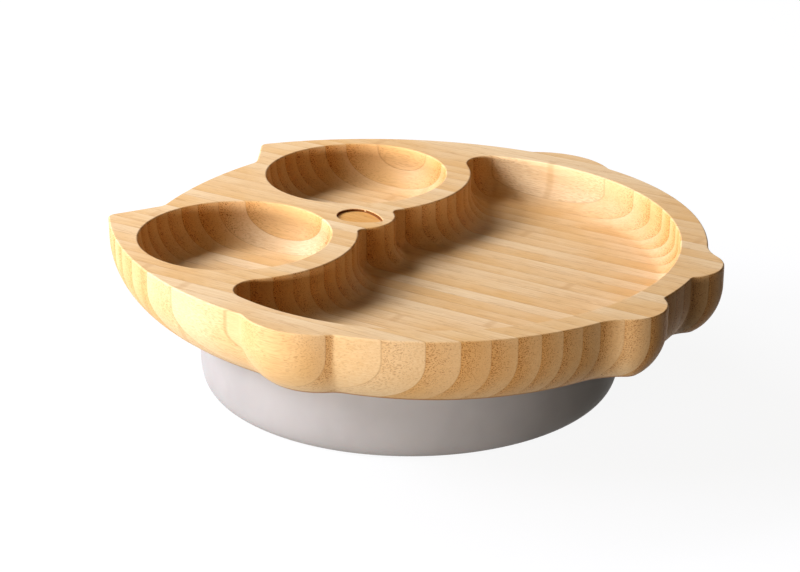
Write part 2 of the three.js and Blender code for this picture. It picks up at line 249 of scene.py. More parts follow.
# %% Compartment outlines
HORN_RADIUS = 8.5 * MM
LOBE_RADIUS = 12 * MM
LOBE_DROP = 26.4 * MM
LOBE_CORNER_RADIUS = 3 * MM
BEAK_RIM = 3.2 * MM
BEAK_LENGTH = 17.4 * MM
BEAK_TIP_RADIUS = 1.4 * MM
BEAK_TOP_RADIUS = 6.4 * MM
BEAK_SIDE_RADIUS = 18 * MM
LOBE_RISE = EYE_RISE - LOBE_DROP
LOBE_TIP = LOBE_RISE - LOBE_RADIUS


def compartment_outline():
    bowl = circle(0, 0, BODY_RADIUS - RIM_WIDTH)
    eye_rim = circle(*EYE, EYE_RADIUS + RIM_WIDTH, -1)
    lobe = circle(0, LOBE_RISE, LOBE_RADIUS, -1)
    horn = fillet(bowl, eye_rim, HORN_RADIUS, 1, on_circle(BODY_RADIUS, 0))
    corner = fillet(eye_rim, lobe, LOBE_CORNER_RADIUS, 1, np.zeros(2))
    bottom = np.array([0, -bowl.radius])
    return mirrored_outline([bowl, horn, eye_rim, corner, lobe], bottom, np.array([0, LOBE_TIP]))


def beak_outline():
    bottom = np.array([0, LOBE_TIP + BEAK_RIM])
    top = bottom + np.array([0, BEAK_LENGTH])
    tip = circle(0, bottom[1] + BEAK_TIP_RADIUS, BEAK_TIP_RADIUS)
    brow = circle(0, top[1] - BEAK_TOP_RADIUS, BEAK_TOP_RADIUS)
    cheek = fillet(tip, brow, BEAK_SIDE_RADIUS, 1, np.array([-BEAK_SIDE_RADIUS, brow.centre[1]]))
    return mirrored_outline([tip, cheek, brow], bottom, top)


compartment = compartment_outline()
beak = beak_outline()
eyes = [round_outline(side * EYE_SPREAD, EYE_RISE, EYE_RADIUS) for side in (-1, 1)]
print("compartment:", len(compartment.places), "points; beak:", len(beak.places), "points")

# %% [markdown]
# ## From outlines to solids
# A loft is a stack of rings with faces between them. Each ring is the outline drawn in by some depth and
# put at some height, so a quarter round of insets and heights gives a rounded edge. Two ways of drawing in
# are needed. A small edge break moves each point along its normal. The curved side of the plate runs in
# further than the ear's tip is round, where normals would cross, so there each point slides towards the
# centre of the belly until it really is that deep inside, as the shoulder of a shaped cutter would be.

# %% Lofts
HALVINGS = 22


def add_object(name, places, faces):
    mesh = bpy.data.meshes.new(name)
    mesh.from_pydata(np.asarray(places).tolist(), [], faces)
    mesh.update()
    made = bpy.data.objects.new(name, mesh)
    bpy.context.scene.collection.objects.link(made)
    return made


def loft(name, rings):
    """Closed body through rings of equal length, from the lowest ring to the highest."""
    size = len(rings[0])
    near, far = np.arange(size), np.roll(np.arange(size), -1)
    faces = [near[::-1].tolist()]
    for level in range(len(rings) - 1):
        low, high = level * size, (level + 1) * size
        faces += np.column_stack([low + near, low + far, high + far, high + near]).tolist()
    faces.append(((len(rings) - 1) * size + near).tolist())
    return add_object(name, np.concatenate(rings), faces)


def at_height(places, height):
    heights = np.broadcast_to(height, len(places))
    return np.column_stack([places[:, 0], places[:, 1] + BODY_Y, heights])


def moved_in(outline, inset, height):
    depth = np.broadcast_to(inset, len(outline.places))[:, None]
    return at_height(outline.places - depth * outline.normals, height)


def edge_distance(outline, places):
    """Distance from each place to the nearest edge of the outline."""
    start = outline.places
    edge = np.roll(start, -1, axis=0) - start
    offset = places[:, None] - start[None]
    share = np.clip((offset * edge).sum(axis=2) / (edge * edge).sum(axis=1), 0, 1)
    return np.linalg.norm(offset - share[..., None] * edge, axis=2).min(axis=1)


def drawn_in(outline, depth):
    """Places on the way to the belly's centre that lie that deep inside the outline."""
    outside, inside = np.zeros(len(outline.places)), np.ones(len(outline.places))
    for _ in range(HALVINGS):
        share = (outside + inside) / 2
        shallow = edge_distance(outline, outline.places * (1 - share)[:, None]) < depth
        outside, inside = np.where(shallow, share, outside), np.where(shallow, inside, share)
    return outline.places * (1 - outside)[:, None]


def quarter_round(steps):
    """Inset and height of a quarter round of radius 1 that leaves a flat and ends upright."""
    angles = np.linspace(0, math.pi / 2, steps + 1)
    return list(zip(1 - np.sin(angles), 1 - np.cos(angles)))


# %% [markdown]
# ## The milled board
# The board starts as a blank with a broken upper edge and a side that curves in under the plate. Then the
# pockets are cut out of it, and a round groove in its underside, where the ring's bead goes in. A floor
# fillet needs room: in the tight corners beside the lobe a wide fillet would fold over itself, so its
# radius shrinks there and grows back slowly along the wall.

# %% Board blank
RING_HEIGHT = 28.8 * MM
FLOOR_THICKNESS = 9.4 * MM
COMPARTMENT_DEPTH = 13.8 * MM
BOARD_TOP = RING_HEIGHT + FLOOR_THICKNESS + COMPARTMENT_DEPTH
SIDE_RADIUS = 20 * MM
SIDE_SWEEP = math.radians(54)
LOWER_EDGE_RADIUS = 1.2 * MM
EDGE_BREAK = 0.6 * MM
WIDE_STEPS = 12
EDGE_STEPS = 4
print("board's top in mm:", round(BOARD_TOP / MM, 1))


def side_profile():
    """Inset and height along the board's side, from the flat underside up to where it stands upright."""
    turning = np.linspace(math.pi / 2, SIDE_SWEEP, EDGE_STEPS + 1)[:-1]
    curving = np.linspace(SIDE_SWEEP, 0, WIDE_STEPS + 1)
    side_inset = SIDE_RADIUS * (1 - np.cos(curving))
    edge_inset = side_inset[0] + LOWER_EDGE_RADIUS * (math.cos(SIDE_SWEEP) - np.cos(turning))
    edge_height = LOWER_EDGE_RADIUS * (1 - np.sin(turning))
    side_start = LOWER_EDGE_RADIUS * (1 - math.sin(SIDE_SWEEP))
    side_height = side_start + SIDE_RADIUS * (math.sin(SIDE_SWEEP) - np.sin(curving))
    return zip(np.append(edge_inset, side_inset), np.append(edge_height, side_height))


def board_blank():
    rings = [at_height(drawn_in(owl, inset), RING_HEIGHT + height) for inset, height in side_profile()]
    for inset, height in reversed(quarter_round(EDGE_STEPS)):
        rings.append(moved_in(owl, EDGE_BREAK * inset, BOARD_TOP - EDGE_BREAK * height))
    return loft("milled_board", rings)


# %% Pocket cutters
EYE_FLOOR_FILLET = 12 * MM
FLOOR_FILLET = 8 * MM
BEAK_DEPTH = 1.5 * MM
BROW_DEPTH = 0.8 * MM
BEAK_EDGE_BREAK = 0.2 * MM
OVERCUT = 5 * MM
ROOM_SHARE = 0.9
FILLET_GROWTH = 0.5
SMALLEST_DEPTH = 1e-12


def fillet_radius(outline, wanted):
    """Floor fillet at each point: no more than the room in front of the wall, and changing slowly."""
    chord = outline.places[None] - outline.places[:, None]
    depth = -(chord * outline.normals[:, None]).sum(axis=2)
    square = (chord**2).sum(axis=2)
    touching = square / (2 * np.maximum(depth, SMALLEST_DEPTH))
    room = np.where(depth > 0, touching, np.inf).min(axis=1)
    limit = ROOM_SHARE * room[None] + FILLET_GROWTH * np.sqrt(square)
    return np.minimum(wanted, limit.min(axis=1))


def pocket_cutter(name, outline, depth, floor_fillet, edge_break):
    """Cutter with a filleted floor and a broken top edge. The depth may differ from point to point."""
    floor = BOARD_TOP - depth
    radius = fillet_radius(outline, floor_fillet)
    rings = []
    for inset, height in quarter_round(WIDE_STEPS):
        rings.append(moved_in(outline, radius * inset, floor + radius * height))
    for inset, height in reversed(quarter_round(EDGE_STEPS)):
        rings.append(moved_in(outline, -edge_break * inset, BOARD_TOP - edge_break * height))
    rings.append(moved_in(outline, -edge_break, BOARD_TOP + OVERCUT))
    return loft(name, rings)


def beak_depths():
    """The beak's floor rises evenly from its tip to its brow."""
    share = (beak.places[:, 1] - LOBE_TIP - BEAK_RIM) / BEAK_LENGTH
    return BEAK_DEPTH + share * (BROW_DEPTH - BEAK_DEPTH)


tightest = fillet_radius(compartment, FLOOR_FILLET).min()
print("compartment's floor fillet in mm:", round(tightest / MM, 1), "to", round(FLOOR_FILLET / MM, 1))

# %% [markdown]
# ## Suction ring
# The ring is moulded silicone: a skirt that bulges outside and tapers inside to the lip that seals on the
# table, with a bead on top that is pushed into the groove. It is the same section all the way round, so we
# draw the section once and revolve it. Silicone has no sharp corners, so each corner of the section gets a
# small arc.

# %% Ring sizes
RING_OFFSET = 9 * MM
RING_SETBACK = 20 * MM
RING_WALL = 11 * MM
BULGE_HEIGHT = 9 * MM
FOOT_TUCK = 3.6 * MM
NECK_TUCK = 3 * MM
LIP_WIDTH = 7 * MM
LIP_THICKNESS = 1.6 * MM
BEAD_WIDTH = 5 * MM
BEAD_HEIGHT = 5 * MM
BEAD_CLEARANCE = 0.3 * MM
LIP_ROUND = 0.5 * MM
SHOULDER_ROUND = 0.9 * MM
BEAD_ROUND = 1.2 * MM
BULGE_RADIUS = BODY_RADIUS - RING_SETBACK
NECK_RADIUS = BULGE_RADIUS - NECK_TUCK
NECK_INNER = NECK_RADIUS - RING_WALL
BEAD_OUTER = (NECK_RADIUS + NECK_INNER + BEAD_WIDTH) / 2
BEAD_INNER = BEAD_OUTER - BEAD_WIDTH
print("bead's radii in mm:", round(BEAD_INNER / MM, 1), round(BEAD_OUTER / MM, 1))

# %% Rounded sections
CURVE_STEPS = 24
ROUND_STEPS = 6


def bent(start, pull, end):
    """Points of a quadratic curve that leaves start towards pull and ends at end, without the start."""
    share = np.linspace(0, 1, CURVE_STEPS + 1)[1:, None]
    return (1 - share) ** 2 * start + 2 * share * (1 - share) * pull + share**2 * end


def rounded(corner, before, after, radius):
    """Arc that rounds one corner of a section."""
    back = (before - corner) / np.linalg.norm(before - corner)
    ahead = (after - corner) / np.linalg.norm(after - corner)
    half = math.acos(np.clip(back @ ahead, -1, 1)) / 2
    middle = (back + ahead) / np.linalg.norm(back + ahead)
    centre = corner + middle * radius / math.sin(half)
    first = corner + back * radius / math.tan(half) - centre
    last = corner + ahead * radius / math.tan(half) - centre
    share = np.linspace(0, 1, ROUND_STEPS + 1)[:, None]
    spread = math.pi - 2 * half
    swung = np.sin((1 - share) * spread) * first + np.sin(share * spread) * last
    return centre + swung / math.sin(spread)


def section(corners):
    """Closed section from (radius, height, rounding) corners. A rounding of 0 keeps the point as it is."""
    places = [np.array(corner[:2]) for corner in corners]
    points = []
    for index, (*_, rounding) in enumerate(corners):
        before, after = places[index - 1], places[(index + 1) % len(places)]
        points += [*rounded(places[index], before, after, rounding)] if rounding else [places[index]]
    return np.array(points)


# %% Revolve
RING_SEGMENTS = 256


def revolve(name, points):
    """Ring of that section about the ring's upright axis."""
    angles = np.arange(RING_SEGMENTS) * 2 * math.pi / RING_SEGMENTS
    places = np.concatenate([
        np.column_stack([
            points[:, 0] * math.cos(angle),
            points[:, 0] * math.sin(angle) + BODY_Y + RING_OFFSET,
            points[:, 1],
        ])
        for angle in angles
    ])
    size = len(points)
    near, far = np.arange(size), np.roll(np.arange(size), -1)
    faces = []
    for turn in range(RING_SEGMENTS):
        here, there = turn * size, (turn + 1) % RING_SEGMENTS * size
        faces += np.column_stack([here + near, there + near, there + far, here + far]).tolist()
    return add_object(name, places, faces)


# %% Ring and groove
SHOULDER_POINTS = 2


def ring_section():
    foot = np.array([BULGE_RADIUS - FOOT_TUCK, 0])
    bulge = np.array([BULGE_RADIUS, BULGE_HEIGHT])
    neck = np.array([NECK_RADIUS, RING_HEIGHT])
    waist = np.array([BULGE_RADIUS, (RING_HEIGHT + BULGE_HEIGHT) / 2])
    # The rounded shoulder takes the place of the wall's last points.
    wall = [*bent(foot, np.array([BULGE_RADIUS, 0]), bulge), *bent(bulge, waist, neck)[:-SHOULDER_POINTS]]
    lip_inner = foot[0] - LIP_WIDTH
    bead_top = RING_HEIGHT + BEAD_HEIGHT
    return section([
        (lip_inner, 0, LIP_ROUND),
        (*foot, 0),
        *((*point, 0) for point in wall),
        (*neck, SHOULDER_ROUND),
        (BEAD_OUTER, RING_HEIGHT, LIP_ROUND),
        (BEAD_OUTER, bead_top, BEAD_ROUND),
        (BEAD_INNER, bead_top, BEAD_ROUND),
        (BEAD_INNER, RING_HEIGHT, LIP_ROUND),
        (NECK_INNER, RING_HEIGHT, SHOULDER_ROUND),
        (lip_inner, LIP_THICKNESS, LIP_ROUND),
    ])


def groove_section():
    inner, outer = BEAD_INNER - BEAD_CLEARANCE, BEAD_OUTER + BEAD_CLEARANCE
    bottom, top = RING_HEIGHT - OVERCUT, RING_HEIGHT + BEAD_HEIGHT + BEAD_CLEARANCE
    return section([
        (inner, bottom, 0),
        (outer, bottom, 0),
        (outer, top, BEAD_ROUND),
        (inner, top, BEAD_ROUND),
    ])


suction_ring = revolve("silicone_suction_ring", ring_section())
print("suction ring:", len(suction_ring.data.polygons), "faces")

# %% [markdown]
# ## Cutting the pockets
# A Boolean modifier takes one closed body out of another. The Manifold solver is fast and gives closed
# results for closed inputs. After the cuts the modifiers are worked into a plain mesh, and the cutters are
# thrown away, because they are tools and no part of the plate.

# %% Mill the board


def plain_mesh(made):
    """Works an object's modifiers into its mesh and removes them."""
    graph = bpy.context.evaluated_depsgraph_get()
    mesh = bpy.data.meshes.new_from_object(made.evaluated_get(graph))
    coarse = made.data
    made.modifiers.clear()
    made.data = mesh
    bpy.data.meshes.remove(coarse)
    return mesh


def remove_object(made):
    mesh = made.data
    bpy.data.objects.remove(made)
    bpy.data.meshes.remove(mesh)


def mill(board, cutters):
    for cutter in cutters:
        cut = board.modifiers.new(cutter.name, "BOOLEAN")
        cut.operation = "DIFFERENCE"
        cut.solver = "MANIFOLD"
        cut.object = cutter
    plain_mesh(board)
    for cutter in cutters:
        remove_object(cutter)


board = board_blank()
cutters = []
for eye in eyes:
    cutters.append(pocket_cutter("eye_cutter", eye, COMPARTMENT_DEPTH, EYE_FLOOR_FILLET, EDGE_BREAK))
cutters += [
    pocket_cutter("compartment_cutter", compartment, COMPARTMENT_DEPTH, FLOOR_FILLET, EDGE_BREAK),
    pocket_cutter("beak_cutter", beak, beak_depths(), BEAK_EDGE_BREAK, BEAK_EDGE_BREAK),
    revolve("groove_cutter", groove_section()),
]
mill(board, cutters)
print("milled board:", len(board.data.polygons), "faces")

# %% [markdown]
# ## Parting the board into staves
# The board is glued up from thirty-three bamboo staves, each as wide as a strip planed from the stem's
# wall, with a hair-thin glue line between them. Staves repeat, so Geometry Nodes make them: a row of slabs,
# one pitch apart and one glue line short of touching, is intersected with the milled board. Each face keeps
# its stave's number, so that the result can be taken apart afterwards.

# %% Node helpers


def node(tree, kind, inputs=None, **settings):
    """Adds a node. Inputs are given by name or place, as a value or as another node's output."""
    made = tree.nodes.new(kind)
    for key, value in settings.items():
        setattr(made, key, value)
    for key, value in (inputs or {}).items():
        if isinstance(value, bpy.types.NodeSocket):
            tree.links.new(value, made.inputs[key])
        else:
            made.inputs[key].default_value = value
    return made


def calc(tree, operation, *values):
    return node(tree, "ShaderNodeMath", dict(enumerate(values)), operation=operation).outputs[0]


def vector(tree, *parts):
    return node(tree, "ShaderNodeCombineXYZ", dict(enumerate(parts))).outputs[0]


def add_sockets(tree, direction, sockets):
    for name, kind in sockets.items():
        tree.interface.new_socket(name, in_out=direction, socket_type="NodeSocket" + kind)


def set_inputs(modifier, values):
    """Sets a modifier's inputs through the identifiers of their sockets."""
    for item in modifier.node_group.interface.items_tree:
        if item.in_out == "INPUT" and item.name in values:
            modifier[item.identifier] = values[item.name]


# %% Stave tree
STAVE_PITCH = 5.9 * MM
GLUE_LINE = 0.05 * MM
STAVE_COUNT = 33


def stave_tree():
    tree = bpy.data.node_groups.new("glued_staves", "GeometryNodeTree")
    sizes = {"Staves": "Int", "Pitch": "Float", "Glue Line": "Float", "Length": "Float", "Height": "Float"}
    add_sockets(tree, "INPUT", {"Geometry": "Geometry", **sizes, "Material": "Material"})
    add_sockets(tree, "OUTPUT", {"Geometry": "Geometry"})
    given = node(tree, "NodeGroupInput").outputs
    first = calc(tree, "MULTIPLY", calc(tree, "SUBTRACT", given["Staves"], 1), given["Pitch"])
    start = vector(tree, calc(tree, "MULTIPLY", first, -0.5), 0, 0)
    line = {"Count": given["Staves"], "Start Location": start, "Offset": vector(tree, given["Pitch"], 0, 0)}
    row = node(tree, "GeometryNodeMeshLine", line)
    thickness = calc(tree, "SUBTRACT", given["Pitch"], given["Glue Line"])
    height = calc(tree, "MULTIPLY", given["Height"], 2)
    slab = node(tree, "GeometryNodeMeshCube", {"Size": vector(tree, thickness, given["Length"], height)})
    copies = {"Points": row.outputs[0], "Instance": slab.outputs[0]}
    slabs = node(tree, "GeometryNodeInstanceOnPoints", copies)
    solid_slabs = node(tree, "GeometryNodeRealizeInstances", {0: slabs.outputs[0]})
    parted = node(tree, "GeometryNodeMeshBoolean", operation="INTERSECT", solver="MANIFOLD")
    tree.links.new(given["Geometry"], parted.inputs["Mesh 2"])
    tree.links.new(solid_slabs.outputs[0], parted.inputs["Mesh 2"])
    place = node(tree, "ShaderNodeSeparateXYZ", {0: node(tree, "GeometryNodeInputPosition").outputs[0]})
    column = calc(tree, "DIVIDE", place.outputs["X"], given["Pitch"])
    number = calc(tree, "ADD", column, calc(tree, "MULTIPLY", calc(tree, "ADD", given["Staves"], 1), 0.5))
    numbered = node(
        tree,
        "GeometryNodeStoreNamedAttribute",
        {"Geometry": parted.outputs[0], "Name": "stave"},
        data_type="INT",
        domain="FACE",
    )
    tree.links.new(calc(tree, "ROUND", number), numbered.inputs["Value"])
    whole = node(tree, "GeometryNodeRealizeInstances", {0: numbered.outputs[0]})
    finish = {"Geometry": whole.outputs[0], "Material": given["Material"]}
    finished = node(tree, "GeometryNodeSetMaterial", finish)
    node(tree, "NodeGroupOutput", {0: finished.outputs[0]})
    return tree


bamboo = bpy.data.materials.new("oiled_bamboo")
parting = board.modifiers.new("glued_staves", "NODES")
parting.node_group = stave_tree()
stave_sizes = {"Staves": STAVE_COUNT, "Pitch": STAVE_PITCH, "Glue Line": GLUE_LINE}
stave_sizes["Length"] = 2 * float(plate_high[1] - plate_low[1])
stave_sizes["Height"] = 2 * BOARD_TOP
set_inputs(parting, {**stave_sizes, "Material": bamboo})
glued = plain_mesh(board)
print("glued staves:", len(glued.polygons), "faces")

# %% [markdown]
# ## One object for each stave
# The staves are separate pieces of the product, so each becomes an object. The faces are sorted by the
# number that the tree stored. The beak's pocket is coloured apart from the rest, its floor toasted orange
# and its wall a darker brown, so floor and wall get values of their own that the finish reads later.
# Weighted
# normals then keep the flats flat: a vertex where a large flat meets a small fillet takes the direction of
# the flat. The edges along the glue lines stay crisp, even where the mill's cut meets a stave's flank at a
# small angle.

# %% Beak pocket
FLANK_FACING = 0.999
FLOOR_FACING = 0.9
TOASTED_FLOOR = 0.5
# Value for the faces of the beak pocket's wall, which is painted a darker brown.
BEAK_WALL_MARK = 1.0


def mesh_values(mesh, key, kind, width=1):
    values = np.empty(len(mesh) * width, kind)
    mesh.foreach_get(key, values)
    return values.reshape(-1, width) if width > 1 else values


def toast(mesh):
    """Marks the faces of the beak's pocket."""
    centres = mesh_values(mesh.polygons, "center", np.float32, 3)
    normals = mesh_values(mesh.polygons, "normal", np.float32, 3)
    low, high = beak.places.min(axis=0), beak.places.max(axis=0)
    across = np.abs(centres[:, 0]) < high[0] + BEAK_EDGE_BREAK
    along = np.abs(centres[:, 1] - BODY_Y - (low[1] + high[1]) / 2) < BEAK_LENGTH / 2 + BEAK_EDGE_BREAK
    sunk = (centres[:, 2] < BOARD_TOP - BEAK_EDGE_BREAK) & (centres[:, 2] > BOARD_TOP - 2 * BEAK_DEPTH)
    flank = np.abs(normals[:, 0]) > FLANK_FACING
    amount = np.where(normals[:, 2] > FLOOR_FACING, TOASTED_FLOOR, BEAK_WALL_MARK)
    values = np.where(across & along & sunk & ~flank, amount, 0).astype(np.float32)
    mesh.attributes.new("toasted", "FLOAT", "FACE").data.foreach_set("value", values)


# %% Flat flats and crisp flanks
SMOOTH_ANGLE = math.radians(35)
SAME_PLACE = 0.001 * MM


def flank_edges(mesh, middle):
    """True for each edge where a stave's flat flank meets what the mill cut."""
    centres = mesh_values(mesh.polygons, "center", np.float32, 3)
    normals = mesh_values(mesh.polygons, "normal", np.float32, 3)
    off_flank = np.abs(np.abs(centres[:, 0] - middle) - (STAVE_PITCH - GLUE_LINE) / 2)
    flank = (off_flank < SAME_PLACE) & (np.abs(normals[:, 0]) > FLANK_FACING)
    totals = mesh_values(mesh.polygons, "loop_total", np.int32)
    edges = mesh_values(mesh.loops, "edge_index", np.int32)
    return np.bincount(edges, np.repeat(flank, totals), len(mesh.edges)) == 1


def shade(made, crisp=False):
    """Smooth shading with crisp corners and flat flats."""
    mesh = made.data
    mesh.shade_smooth()
    mesh.set_sharp_from_angle(angle=SMOOTH_ANGLE)
    mesh.edges.foreach_set("use_edge_sharp", mesh_values(mesh.edges, "use_edge_sharp", bool) | crisp)
    weighting = made.modifiers.new("flat_flats", "WEIGHTED_NORMAL")
    weighting.keep_sharp = True
    plain_mesh(made)


# %% Split into staves
FEWEST_FACES = 3
FEWEST_CORNERS = 3


def without_slivers(faces):
    """Faces without the corners that only two of them share, which would fold slivers onto a flank."""
    uses = np.bincount(np.concatenate(faces))
    faces = [face[uses[face] >= FEWEST_FACES] for face in faces]
    return [face for face in faces if len(face) >= FEWEST_CORNERS]


def split_staves(mesh):
    """One object for each number that the stave tree stored on the faces."""
    numbers = mesh_values(mesh.attributes["stave"].data, "value", np.int32)
    starts = mesh_values(mesh.polygons, "loop_start", np.int32)
    totals = mesh_values(mesh.polygons, "loop_total", np.int32)
    corners = mesh_values(mesh.loops, "vertex_index", np.int32)
    places = mesh_values(mesh.vertices, "co", np.float32, 3)
    pieces = []
    for number in range(1, STAVE_COUNT + 1):
        own = np.flatnonzero(numbers == number)
        faces = without_slivers([corners[starts[i] : starts[i] + totals[i]] for i in own])
        used, packed = np.unique(np.concatenate(faces), return_inverse=True)
        ends = np.cumsum([len(face) for face in faces])
        packed_faces = [face.tolist() for face in np.split(packed, ends[:-1])]
        stave = add_object(f"bamboo_stave_{number:02d}", places[used], packed_faces)
        stave.data.materials.append(bamboo)
        toast(stave.data)
        middle = (number - (STAVE_COUNT + 1) / 2) * STAVE_PITCH
        shade(stave, flank_edges(stave.data, middle))
        pieces.append(stave)
    return pieces


staves = split_staves(glued)
remove_object(board)
shade(suction_ring)
most_faces = max(len(stave.data.polygons) for stave in staves)
print("staves:", len(staves), "pieces, largest", most_faces, "faces")

# %% [markdown]
# ## Bamboo, stave by stave
# Bamboo is a giant grass. Its wall is pale tissue with long fibre bundles, crowded and brown towards the
# outside of the stem, sparse towards the inside. A stave is a strip of that wall, so each has a dense and a
# pale flank. Cut across, at the plate's edge, the bundles are dots; cut along, on the top, they are
# streaks. If the pattern is made in three dimensions and stretched along the stave, the mill's cuts show
# the right one everywhere. The first node group finds the stave that a point lies in, how far across it
# lies, and a random shift in millimetres, so that no grain runs on over a glue line.

# %% Stave cell group
SHIFT_ALONG = 900
SHIFT_UP = 300
KNOT_SPREAD = 330 * MM


def new_group(name, inputs, outputs):
    tree = bpy.data.node_groups.new(name, "ShaderNodeTree")
    add_sockets(tree, "INPUT", inputs)
    add_sockets(tree, "OUTPUT", outputs)
    return tree, node(tree, "NodeGroupInput").outputs


def ramp(tree, value, low, high, to_low=0.0, to_high=1.0):
    """Smooth step of a value from one range to another."""
    parts = {"Value": value, "From Min": low, "From Max": high, "To Min": to_low, "To Max": to_high}
    return node(tree, "ShaderNodeMapRange", parts, interpolation_type="SMOOTHSTEP").outputs[0]


def stave_cell():
    outputs = {"Across": "Float", "Tone": "Float", "Joint": "Float", "Own Place": "Vector", "Knot": "Float"}
    inputs = {"Place": "Vector", "Pitch": "Float", "Seed": "Float"}
    tree, given = new_group("stave_cell", inputs, outputs)
    place = node(tree, "ShaderNodeSeparateXYZ", {0: given["Place"]}).outputs
    column = calc(tree, "DIVIDE", place["X"], given["Pitch"])
    number = calc(tree, "ROUND", column)
    offset = calc(tree, "SUBTRACT", column, number)
    drawn = calc(tree, "ADD", number, given["Seed"])
    noise = node(tree, "ShaderNodeTexWhiteNoise", {"W": drawn}, noise_dimensions="1D")
    chance = node(tree, "ShaderNodeSeparateXYZ", {0: noise.outputs["Color"]}).outputs
    own_x = calc(tree, "MULTIPLY", calc(tree, "MULTIPLY", offset, given["Pitch"]), 1 / MM)
    own_y = calc(tree, "MULTIPLY_ADD", place["Y"], 1 / MM, calc(tree, "MULTIPLY", chance["Y"], SHIFT_ALONG))
    own_z = calc(tree, "MULTIPLY_ADD", place["Z"], 1 / MM, calc(tree, "MULTIPLY", chance["Z"], SHIFT_UP))
    knot = calc(tree, "MULTIPLY_ADD", calc(tree, "SUBTRACT", chance["Z"], 0.5), KNOT_SPREAD, place["Y"])
    joint = calc(tree, "SUBTRACT", 0.5, calc(tree, "ABSOLUTE", offset))
    results = {"Across": calc(tree, "ADD", offset, 0.5), "Tone": chance["X"]}
    results["Joint"] = calc(tree, "MULTIPLY", joint, given["Pitch"])
    results["Own Place"] = vector(tree, own_x, own_y, own_z)
    results["Knot"] = calc(tree, "ABSOLUTE", knot)
    node(tree, "NodeGroupOutput", results)
    return tree


STAVE_CELL = stave_cell()
print("stave cell group:", len(STAVE_CELL.nodes), "nodes")

# %% [markdown]
# The second group draws the fibre bundles. A two-dimensional Voronoi pattern over the stave's cross-section
# gives cells with a middle each, and a disc round the middle is a bundle. Because the pattern ignores the
# length, the bundles run on along the stave; a slow noise makes them wander a little, as grown fibres do.

# %% Fibre bundle group
BUNDLE_SPACING = 0.5
BUNDLE_SCATTER = 0.65
DENSE_BUNDLE_RADIUS = 0.33
SPARSE_BUNDLE_RADIUS = 0.24
SPARSE_SHARE = 0.55
WANDER = 2.6
NOISE_RANGE = (0.3, 0.7)
DRIFT_GRAIN = (0.12, 0.012, 2.0)
STREAK_GRAIN = (0.5, 0.008, 3.0)
FINE_STREAK_GRAIN = (2.4, 0.025, 2.0)


def grain_noise(tree, place, across, along, detail):
    """Noise with so many features for each millimetre across and along the grain."""
    stretch = {0: place, 1: (across, along, across)}
    scaled = node(tree, "ShaderNodeVectorMath", stretch, operation="MULTIPLY")
    return node(tree, "ShaderNodeTexNoise", {"Vector": scaled.outputs[0], "Detail": detail}).outputs


def fibre_bundles():
    tree, given = new_group(
        "fibre_bundles",
        {"Own Place": "Vector", "Across": "Float"},
        {"Bundles": "Float", "Streaks": "Float", "Fine Streaks": "Float"},
    )
    place, across = given["Own Place"], given["Across"]
    drift = grain_noise(tree, place, *DRIFT_GRAIN)["Color"]
    drifting = {0: drift, 1: (WANDER, 0, WANDER), 2: place}
    swayed = node(tree, "ShaderNodeVectorMath", drifting, operation="MULTIPLY_ADD")
    sway = node(tree, "ShaderNodeSeparateXYZ", {0: swayed.outputs[0]}).outputs
    section_place = vector(tree, sway["X"], sway["Z"], 0)
    pattern = {"Vector": section_place, "Scale": 1 / BUNDLE_SPACING, "Randomness": BUNDLE_SCATTER}
    cells = node(tree, "ShaderNodeTexVoronoi", pattern, voronoi_dimensions="2D").outputs
    chance = node(tree, "ShaderNodeSeparateXYZ", {0: cells["Color"]}).outputs["X"]
    radius = ramp(tree, across, 0, 1, DENSE_BUNDLE_RADIUS, SPARSE_BUNDLE_RADIUS)
    disc = ramp(tree, calc(tree, "DIVIDE", cells["Distance"], radius), 0.5, 1.1, 1.0, 0.0)
    present = calc(tree, "LESS_THAN", chance, ramp(tree, across, 0.1, 0.95, 1.0, SPARSE_SHARE))
    results = {"Bundles": calc(tree, "MULTIPLY", disc, present)}
    results["Streaks"] = ramp(tree, grain_noise(tree, place, *STREAK_GRAIN)[0], *NOISE_RANGE)
    results["Fine Streaks"] = ramp(tree, grain_noise(tree, place, *FINE_STREAK_GRAIN)[0], *NOISE_RANGE)
    node(tree, "NodeGroupOutput", results)
    return tree


FIBRE_BUNDLES = fibre_bundles()
print("fibre bundle group:", len(FIBRE_BUNDLES.nodes), "nodes")

# %% [markdown]
# No grown or moulded surface is quite even. The third group is a soft cloudiness that the bamboo and the
# silicone share, each at its own scale.

# %% Soft mottle group


def soft_mottle():
    tree, given = new_group("soft_mottle", {"Place": "Vector", "Scale": "Float"}, {"Mottle": "Float"})
    pattern = {"Vector": given["Place"], "Scale": given["Scale"], "Detail": 3.0, "Roughness": 0.55}
    cloud = node(tree, "ShaderNodeTexNoise", pattern).outputs[0]
    node(tree, "NodeGroupOutput", {"Mottle": ramp(tree, cloud, *NOISE_RANGE)})
    return tree


SOFT_MOTTLE = soft_mottle()
print("soft mottle group:", len(SOFT_MOTTLE.nodes), "nodes")

# %% [markdown]
# ## Oiled bamboo
# The material puts the groups together: tissue between two tones, streaks over it, bundles in brown, a thin
# line of glue, and a faint band where the stem had a knot. End grain drinks more oil, so it is warmer and
# its bundles are darkest where a cut crosses them; the surface's own direction says how far that is so. The
# lowest band of the side, where it curves under, gets painted shade. The beak's pocket multiplies all of it
# with toasted orange on its floor and a darker brown on its wall. Oil leaves bamboo satin, so the roughness
# stays near a half.

# %% Colour helpers


def linear(red, green, blue):
    """Colour as a screen shows it, 0 to 255, turned into the light values that shaders use."""
    shares = (channel / 255 for channel in (red, green, blue))
    return (*(s / 12.92 if s <= 0.04045 else ((s + 0.055) / 1.055) ** 2.4 for s in shares), 1.0)


def mixed(tree, factor, first, second, blend="MIX"):
    """Mix of two colours. The Mix node has its colour inputs at places 6 and 7."""
    parts = {0: factor, 6: first, 7: second}
    return node(tree, "ShaderNodeMix", parts, data_type="RGBA", blend_type=blend).outputs[2]


